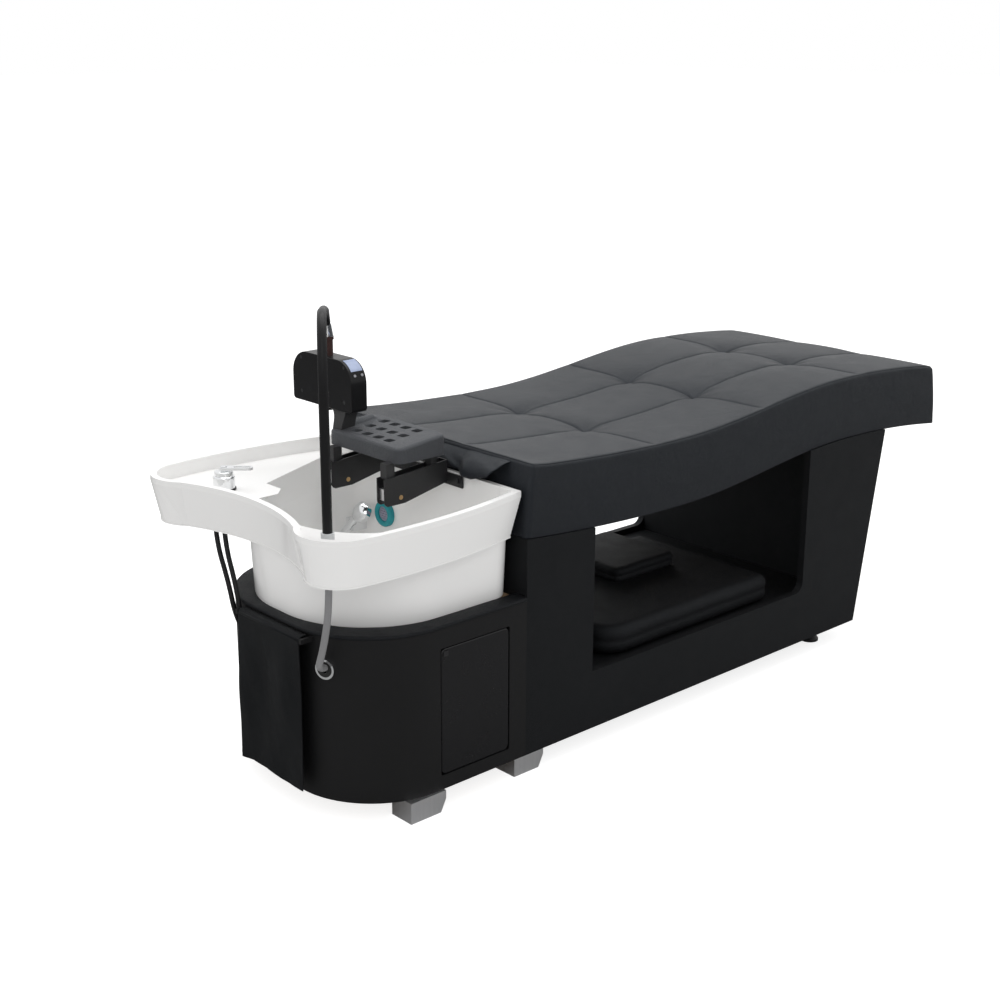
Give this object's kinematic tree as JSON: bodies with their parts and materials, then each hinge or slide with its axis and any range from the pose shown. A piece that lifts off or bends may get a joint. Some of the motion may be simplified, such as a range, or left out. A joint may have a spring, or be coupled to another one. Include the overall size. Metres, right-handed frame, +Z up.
{
  "type": "hair washing bed",
  "caption": "Wave-shaped upholstered bed with storage under it and a deep white wash basin on a cabinet, with a headrest and a hooded circulating head-wash unit.",
  "frame": {"origin": "floor level, under the middle of the whole object", "axes": "+X from the basin to the foot of the bed, +Y to the far side seen from the pictured side, +Z up"},
  "size_m": [1.998, 0.7036, 1.0403],
  "materials": {
    "black_leather": "satin",
    "black_panel": "satin",
    "plywood": "matte",
    "frame_steel": "satin",
    "silver_metal": "satin",
    "black_metal": "satin",
    "cabinet_black": "satin",
    "door_black": "gloss",
    "matte_black": "matte",
    "hood_black": "satin",
    "pin_brass": "satin",
    "bright_chrome": "mirror",
    "display_glass": "gloss",
    "button_light": "gloss",
    "smoky_stem": "gloss",
    "light_grey": "satin",
    "hose_black": "satin",
    "hose_grey": "satin",
    "pump_grey": "matte",
    "tank_white": "satin",
    "fitting_brass": "satin",
    "seal_black": "matte",
    "teal_ring": "satin",
    "lilac_grey": "satin",
    "basin_white": "gloss"
  },
  "bodies": {
    "bed": {"cushion": "black_leather", "neck_flap": "black_leather", "padded_ring": "black_leather", "side_panel_near": "black_panel", "side_panel_far": "black_panel", "head_panel": "black_panel", "foot_panel": "black_panel", "storage_walls": "black_panel", "storage_floor": "black_panel", "wave_board": "plywood", "base_frame": "frame_steel", "block_feet": "silver_metal", "cabinet_shell": "cabinet_black", "cabinet_top_board": "plywood", "cabinet_floor": "plywood", "apron_rail": "frame_steel", "headrest_pins": "pin_brass", "headrest_arms": "black_metal", "headrest_mount": "black_metal", "riser_ring": "light_grey", "riser_pipe": "hose_black", "hood_hose": "hose_black", "grommet": "bright_chrome", "lower_hose": "hose_grey", "circulation_pump": "pump_grey", "water_tank": "tank_white", "supply_hose_hot": "hose_black", "supply_hose_cold": "hose_black", "valve_block": "fitting_brass", "faucet_gasket": "seal_black", "faucet_body": "bright_chrome", "strainer_ring": "teal_ring", "shower_holder": "bright_chrome", "waste_pipe": "tank_white", "basin": "basin_white"},
    "headrest": {"headrest_plate": "matte_black", "headrest_legs": "matte_black", "pivot_blocks": "silver_metal", "hood_bracket": "matte_black", "hood_shell": "hood_black", "hood_cover": "hood_black", "hood_screws": "black_metal", "hood_display": "display_glass", "inlet_stem": "smoky_stem", "swivel_nut": "bright_chrome"},
    "plus_button": {"hood_button_plus": "button_light"},
    "minus_button": {"hood_button_minus": "button_light"},
    "faucet_head": {"faucet_cap": "bright_chrome"},
    "faucet_handle": {"faucet_lever": "bright_chrome"},
    "door": {"cabinet_door": "door_black", "door_pull": "silver_metal"},
    "apron": {"service_apron": "black_leather"},
    "foot_near": {"levelling_foot_near": "black_metal"},
    "foot_far": {"levelling_foot_far": "black_metal"},
    "large_pad": {"storage_pad": "black_leather"},
    "small_pad": {"storage_pad_small": "black_leather"},
    "sprayer": {"hand_shower": "bright_chrome", "shower_face": "light_grey"},
    "overflow_grille": {"strainer_grille": "lilac_grey"},
    "waste_strainer": {"drain_strainer": "bright_chrome"}
  },
  "joints": [
    {"name": "headrest_tilt", "type": "hinge", "parent": "bed", "child": "headrest", "pos_m": [-0.637, 0, 0.6], "axis": [0, -1, 0], "range_deg": [0, 15], "deforming": ["hood_hose"]},
    {"name": "plus_press", "type": "slide", "parent": "headrest", "child": "plus_button", "axis": [0, 0.9136, -0.4067], "range_m": [0, 0.001], "stiffness_N_per_m": 800, "springref_m": -0.0004},
    {"name": "minus_press", "type": "slide", "parent": "headrest", "child": "minus_button", "axis": [0, 0.9136, -0.4067], "range_m": [0, 0.001], "stiffness_N_per_m": 800, "springref_m": -0.0004},
    {"name": "faucet_turn", "type": "hinge", "parent": "bed", "child": "faucet_head", "pos_m": [-0.877, 0.19, 0.64], "axis": [0, 0, 1], "range_deg": [-35, 35]},
    {"name": "faucet_lift", "type": "hinge", "parent": "faucet_head", "child": "faucet_handle", "pos_m": [-0.877, 0.19, 0.6465], "axis": [-0.6691, -0.7431, 0], "range_deg": [0, 20]},
    {"name": "door_swing", "type": "hinge", "parent": "bed", "child": "door", "pos_m": [-0.546, -0.325, 0.216], "axis": [0, 0, 1], "range_deg": [0, 95]},
    {"name": "apron_swing", "type": "hinge", "parent": "bed", "child": "apron", "pos_m": [-0.9515, 0, 0.388], "axis": [0, 1, 0], "range_deg": [0, 75]},
    {"name": "foot_screw_near", "type": "slide", "parent": "bed", "child": "foot_near", "axis": [0, 0, -1], "range_m": [0, 0.012]},
    {"name": "foot_screw_far", "type": "slide", "parent": "bed", "child": "foot_far", "axis": [0, 0, -1], "range_m": [0, 0.012]},
    {"name": "large_pad_lift", "type": "slide", "parent": "bed", "child": "large_pad", "axis": [0, 0, 1], "range_m": [0, 0.1]},
    {"name": "small_pad_lift", "type": "slide", "parent": "large_pad", "child": "small_pad", "axis": [0, 0, 1], "range_m": [0, 0.1]},
    {"name": "sprayer_lift_off", "type": "slide", "parent": "bed", "child": "sprayer", "axis": [-1, 0, 0], "range_m": [0, 0.035]},
    {"name": "grille_pull", "type": "slide", "parent": "bed", "child": "overflow_grille", "axis": [-1, 0, 0], "range_m": [0, 0.03]},
    {"name": "waste_strainer_lift", "type": "slide", "parent": "bed", "child": "waste_strainer", "axis": [0, 0, 1], "range_m": [0, 0.03]}
  ]
}
